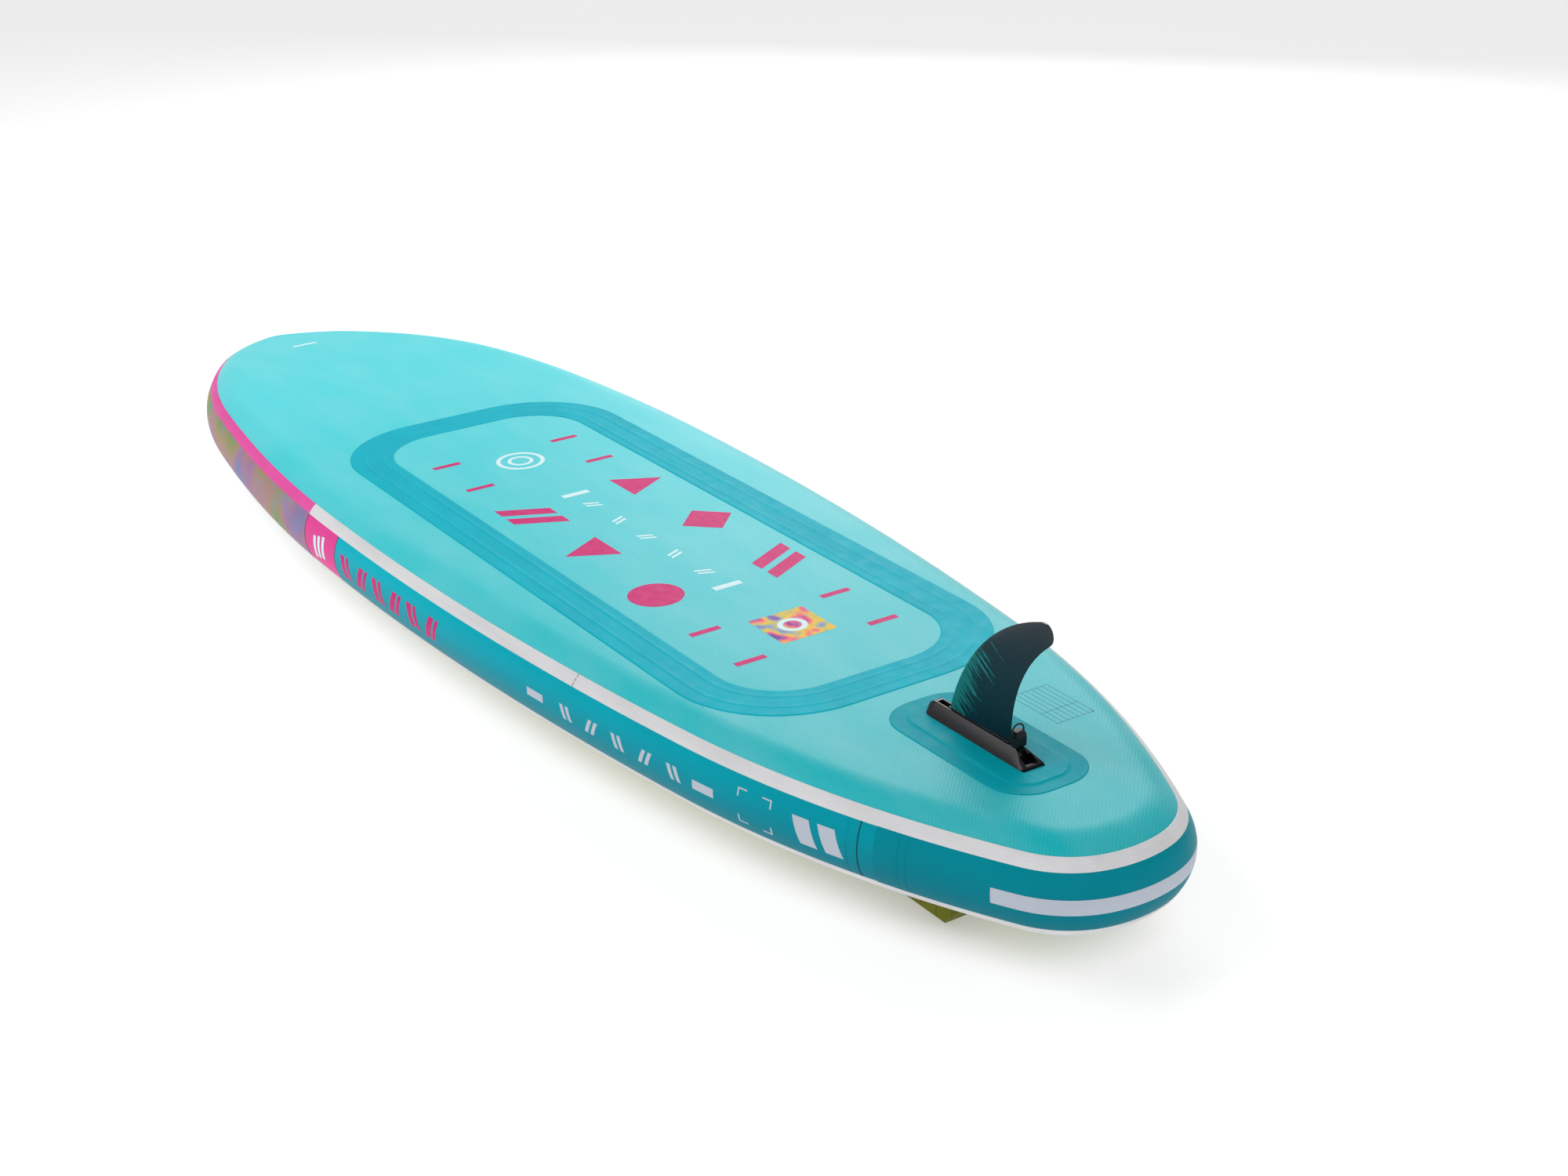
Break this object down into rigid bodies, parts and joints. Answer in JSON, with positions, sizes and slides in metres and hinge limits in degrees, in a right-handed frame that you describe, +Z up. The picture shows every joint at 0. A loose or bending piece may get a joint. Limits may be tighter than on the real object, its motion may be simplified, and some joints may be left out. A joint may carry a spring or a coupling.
{
  "type": "inflatable stand up paddleboard",
  "caption": "Inflatable double chamber paddleboard lying hull up, with slide-in fin, kick pad, deck pad, valves, D-rings and carry handle.",
  "frame": {"origin": "on the ground below the middle of the board's length and width, as it lies deck down", "axes": "+X to the nose, +Z up out of the hull, +Y to the left when facing the nose with the hull up"},
  "size_m": [2.9699, 0.81, 0.4257],
  "materials": {
    "hull_fabric": "pale turquoise coated fabric with a fine woven grain",
    "deck_fabric": "pale grey coated fabric",
    "rail_fabric": "teal coated fabric",
    "rail_fabric_print": "pastel printed coated fabric",
    "pink_band": "pink coated fabric tape",
    "white_band": "off-white coated fabric tape",
    "seam_fabric": "darker turquoise coated fabric",
    "inner_fabric": "plain grey coated fabric",
    "thread": "white polyester thread",
    "pad_foam": "closed cell foam with a diamond groove",
    "kick_foam": "olive closed cell foam",
    "black_plastic": "fine texture",
    "grey_plastic": "satin",
    "fin_plastic": "dark navy with teal brushed streaks",
    "black_rubber": "matt",
    "black_webbing": "woven webbing",
    "grip_neoprene": "soft neoprene",
    "steel": "polished stainless"
  },
  "bodies": {
    "board": {"hull_skin": "hull_fabric", "deck_skin": "deck_fabric", "rail_nose": "rail_fabric_print", "hull_edge_band_nose": "pink_band", "deck_edge_band_nose": "white_band", "rail_left": "rail_fabric", "hull_edge_band_left": "white_band", "deck_edge_band_left": "white_band", "rail_right": "rail_fabric", "hull_edge_band_right": "white_band", "deck_edge_band_right": "white_band", "rail_tail": "rail_fabric", "hull_edge_band_tail": "white_band", "deck_edge_band_tail": "white_band", "chamber_ring_band": "seam_fabric", "chamber_wall": "inner_fabric", "inner_drop_threads": "thread", "outer_drop_threads": "thread", "deck_pad": "pad_foam", "kick_pad": "kick_foam", "fin_patch": "seam_fabric", "fin_box": "black_plastic", "handle_webbing": "black_webbing", "handle_grip": "grip_neoprene", "handle_patches": "deck_fabric", "main_valve_body": "grey_plastic", "main_valve_nut": "grey_plastic", "main_valve_spring": "steel", "inner_valve_body": "grey_plastic", "inner_valve_nut": "grey_plastic", "inner_valve_spring": "steel", "cargo_ring_patches": "seam_fabric", "cargo_ring_webbing": "black_webbing", "leash_ring_patches": "seam_fabric", "leash_ring_webbing": "black_webbing"},
    "fin_unit": {"fin": "fin_plastic"},
    "clip_unit": {"fin_clip": "black_plastic", "fin_clip_loop": "black_rubber"},
    "main_gasket": {"main_valve_gasket": "black_rubber"},
    "main_cap": {"main_valve_cap": "black_plastic"},
    "main_plunger": {"main_valve_plunger": "black_plastic", "main_valve_seal": "black_rubber"},
    "main_tether": {"main_valve_tether": "black_rubber"},
    "inner_gasket": {"inner_valve_gasket": "black_rubber"},
    "inner_cap": {"inner_valve_cap": "black_plastic"},
    "inner_plunger": {"inner_valve_plunger": "black_plastic", "inner_valve_seal": "black_rubber"},
    "inner_tether": {"inner_valve_tether": "black_rubber"},
    "front_left_ring": {"d_ring_front_left": "steel"},
    "front_right_ring": {"d_ring_front_right": "steel"},
    "rear_left_ring": {"d_ring_rear_left": "steel"},
    "rear_right_ring": {"d_ring_rear_right": "steel"},
    "leash_ring": {"d_ring_leash": "steel"}
  },
  "joints": [
    {"name": "fin_slide", "type": "slide", "parent": "board", "child": "fin_unit", "axis": [-1, 0, 0], "range_m": [0, 0.205]},
    {"name": "fin_clip_lift", "type": "slide", "parent": "fin_unit", "child": "clip_unit", "axis": [0, 0, 1], "range_m": [0, 0.022]},
    {"name": "main_cap_turn", "type": "hinge", "parent": "board", "child": "main_gasket", "pos_m": [0.627, -0.12, 0.052], "axis": [0, 0, -1], "range_deg": [-90, 0]},
    {"name": "main_cap_lift", "type": "slide", "parent": "main_gasket", "child": "main_cap", "axis": [0, 0, -1], "range_m": [0, 0.025]},
    {"name": "main_plunger_press", "type": "slide", "parent": "board", "child": "main_plunger", "axis": [0, 0, 1], "range_m": [0, 0.008], "stiffness_N_per_m": 500, "springref_m": -0.004, "deforming": ["main_valve_spring"]},
    {"name": "main_tether_turn", "type": "hinge", "parent": "board", "child": "main_tether", "pos_m": [0.627, -0.12, 0.052], "axis": [0, 0, -1], "continuous": true},
    {"name": "inner_cap_turn", "type": "hinge", "parent": "board", "child": "inner_gasket", "pos_m": [0.365, 0.12, 0.052], "axis": [0, 0, -1], "range_deg": [-90, 0]},
    {"name": "inner_cap_lift", "type": "slide", "parent": "inner_gasket", "child": "inner_cap", "axis": [0, 0, -1], "range_m": [0, 0.025]},
    {"name": "inner_plunger_press", "type": "slide", "parent": "board", "child": "inner_plunger", "axis": [0, 0, 1], "range_m": [0, 0.008], "stiffness_N_per_m": 500, "springref_m": -0.004, "deforming": ["inner_valve_spring"]},
    {"name": "inner_tether_turn", "type": "hinge", "parent": "board", "child": "inner_tether", "pos_m": [0.365, 0.12, 0.052], "axis": [0, 0, -1], "continuous": true},
    {"name": "front_left_ring_swing", "type": "hinge", "parent": "board", "child": "front_left_ring", "pos_m": [1.03464, 0.13, 0.03397], "axis": [0, 1, 0], "range_deg": [-75, 75]},
    {"name": "front_right_ring_swing", "type": "hinge", "parent": "board", "child": "front_right_ring", "pos_m": [1.03464, -0.13, 0.03397], "axis": [0, 1, 0], "range_deg": [-75, 75]},
    {"name": "rear_left_ring_swing", "type": "hinge", "parent": "board", "child": "rear_left_ring", "pos_m": [0.74492, 0.205, 0.04612], "axis": [0, 1, 0], "range_deg": [-75, 75]},
    {"name": "rear_right_ring_swing", "type": "hinge", "parent": "board", "child": "rear_right_ring", "pos_m": [0.74492, -0.205, 0.04612], "axis": [0, 1, 0], "range_deg": [-75, 75]},
    {"name": "leash_ring_swing", "type": "hinge", "parent": "board", "child": "leash_ring", "pos_m": [-1.32, 0, 0.04672], "axis": [0, 1, 0], "range_deg": [-75, 75]}
  ]
}
